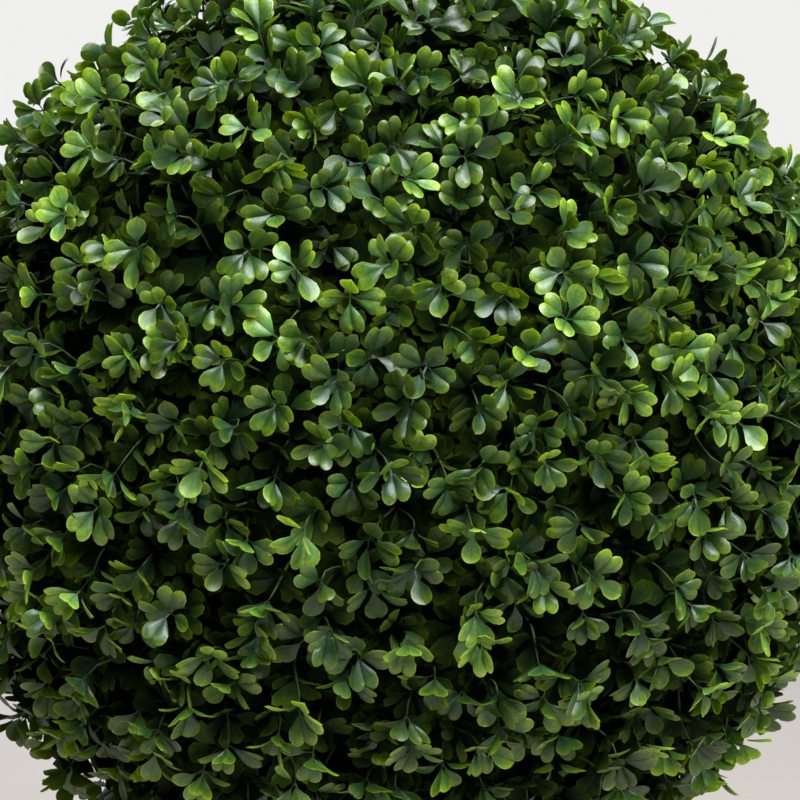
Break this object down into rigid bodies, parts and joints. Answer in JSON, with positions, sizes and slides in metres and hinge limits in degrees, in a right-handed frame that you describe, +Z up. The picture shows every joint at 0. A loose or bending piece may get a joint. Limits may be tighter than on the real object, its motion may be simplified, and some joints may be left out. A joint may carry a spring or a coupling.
{
  "type": "artificial box topiary ball in a pot",
  "caption": "Artificial box topiary: one clipped ball of small plastic leaves on a short stem, standing in a plain round tapered pot.",
  "frame": {"origin": "centre of the flat underside of the pot", "axes": "+Z up through the stem and the middle of the ball; +X to the right and -Y towards the viewer of the front"},
  "size_m": [0.4787, 0.4782, 0.6788],
  "materials": {
    "pot": "matte",
    "pot_filling": "matte",
    "stem": "matte",
    "leaves": "satin",
    "twigs": "satin"
  },
  "bodies": {
    "root": {"pot": "pot", "pot_filling": "pot_filling", "stem": "stem", "foliage_ball": "leaves"}
  },
  "joints": []
}
